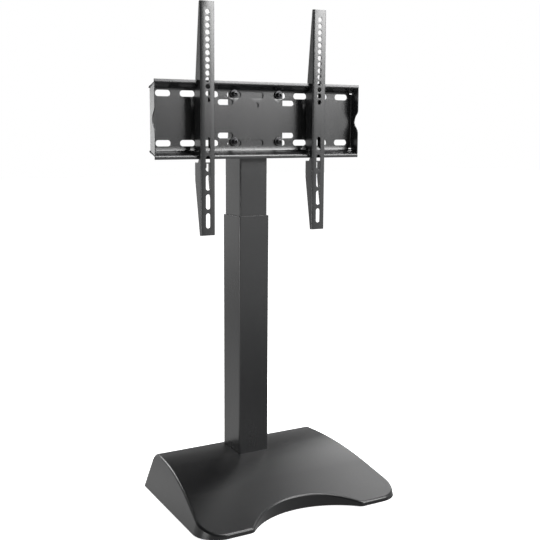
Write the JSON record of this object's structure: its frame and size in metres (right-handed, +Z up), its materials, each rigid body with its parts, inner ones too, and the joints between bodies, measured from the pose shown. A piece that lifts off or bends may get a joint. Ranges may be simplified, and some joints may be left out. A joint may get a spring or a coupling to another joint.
{
  "type": "tv stand with mount",
  "caption": "Freestanding TV stand: bayed floor base, telescopic lift column, slotted mount plate and two sliding hook-on arms with hole rows for the TV.",
  "frame": {"origin": "on the floor, in the middle of the stand's outline", "axes": "+X to the right seen from the front, +Y to the back, +Z up"},
  "size_m": [0.471, 0.33, 0.9935],
  "materials": {
    "cover_plastic": "satin black",
    "black_steel": "satin black powder coat",
    "base_steel": "dark primer",
    "foot_rubber": "matt black",
    "glide_plastic": "black",
    "zinc_steel": "zinc plated",
    "black_screw": "black oxide",
    "bright_steel": "ground",
    "motor_case": "grey",
    "nut_brass": "plain",
    "box_plastic": "black"
  },
  "bodies": {
    "stand": {"base_cover": "cover_plastic", "base_plate": "base_steel", "rubber_feet": "foot_rubber", "cover_screws": "zinc_steel", "column_flange": "black_steel", "flange_bolts": "zinc_steel", "outer_tube": "black_steel", "glide_collar": "glide_plastic", "motor_bracket": "zinc_steel", "drive_motor": "motor_case", "gearbox": "motor_case", "thrust_bearing": "bright_steel", "control_box": "box_plastic", "control_box_screws": "zinc_steel", "power_inlet": "box_plastic", "motor_cable": "box_plastic"},
    "screw": {"output_shaft": "bright_steel", "shaft_coupling": "zinc_steel", "lead_screw": "bright_steel"},
    "lift": {"inner_tube": "black_steel", "lower_glides": "glide_plastic", "nut_carrier": "zinc_steel", "drive_nut": "nut_brass", "tube_end_plate": "black_steel", "head_bracket": "black_steel", "head_screws": "zinc_steel", "mount_plate": "black_steel", "plate_screws": "black_screw", "plate_washers": "zinc_steel", "plate_nuts": "zinc_steel"},
    "left_arm": {"arm_left": "black_steel"},
    "right_arm": {"arm_right": "black_steel"},
    "left_lock": {"lock_screw_left": "zinc_steel"},
    "right_lock": {"lock_screw_right": "zinc_steel"}
  },
  "joints": [
    {"name": "lift_slide", "type": "slide", "parent": "stand", "child": "lift", "axis": [0, 0, 1], "range_m": [-0.115, 0.18]},
    {"name": "screw_turn", "type": "hinge", "parent": "stand", "child": "screw", "pos_m": [0, 0.089, 0.3], "axis": [0, 0, 1], "range_deg": [-8101, 5176]},
    {"name": "arm_left_slide", "type": "slide", "parent": "lift", "child": "left_arm", "axis": [1, 0, 0], "range_m": [-0.085, 0.078]},
    {"name": "arm_right_slide", "type": "slide", "parent": "lift", "child": "right_arm", "axis": [1, 0, 0], "range_m": [-0.078, 0.085]},
    {"name": "lock_left_slide", "type": "slide", "parent": "left_arm", "child": "left_lock", "axis": [0, 0, 1], "range_m": [-0.01, 0]},
    {"name": "lock_right_slide", "type": "slide", "parent": "right_arm", "child": "right_lock", "axis": [0, 0, 1], "range_m": [-0.01, 0]}
  ],
  "couplings": [
    {"joint": "screw_turn", "follows": "lift_slide", "rad_per_m": -785.4}
  ]
}
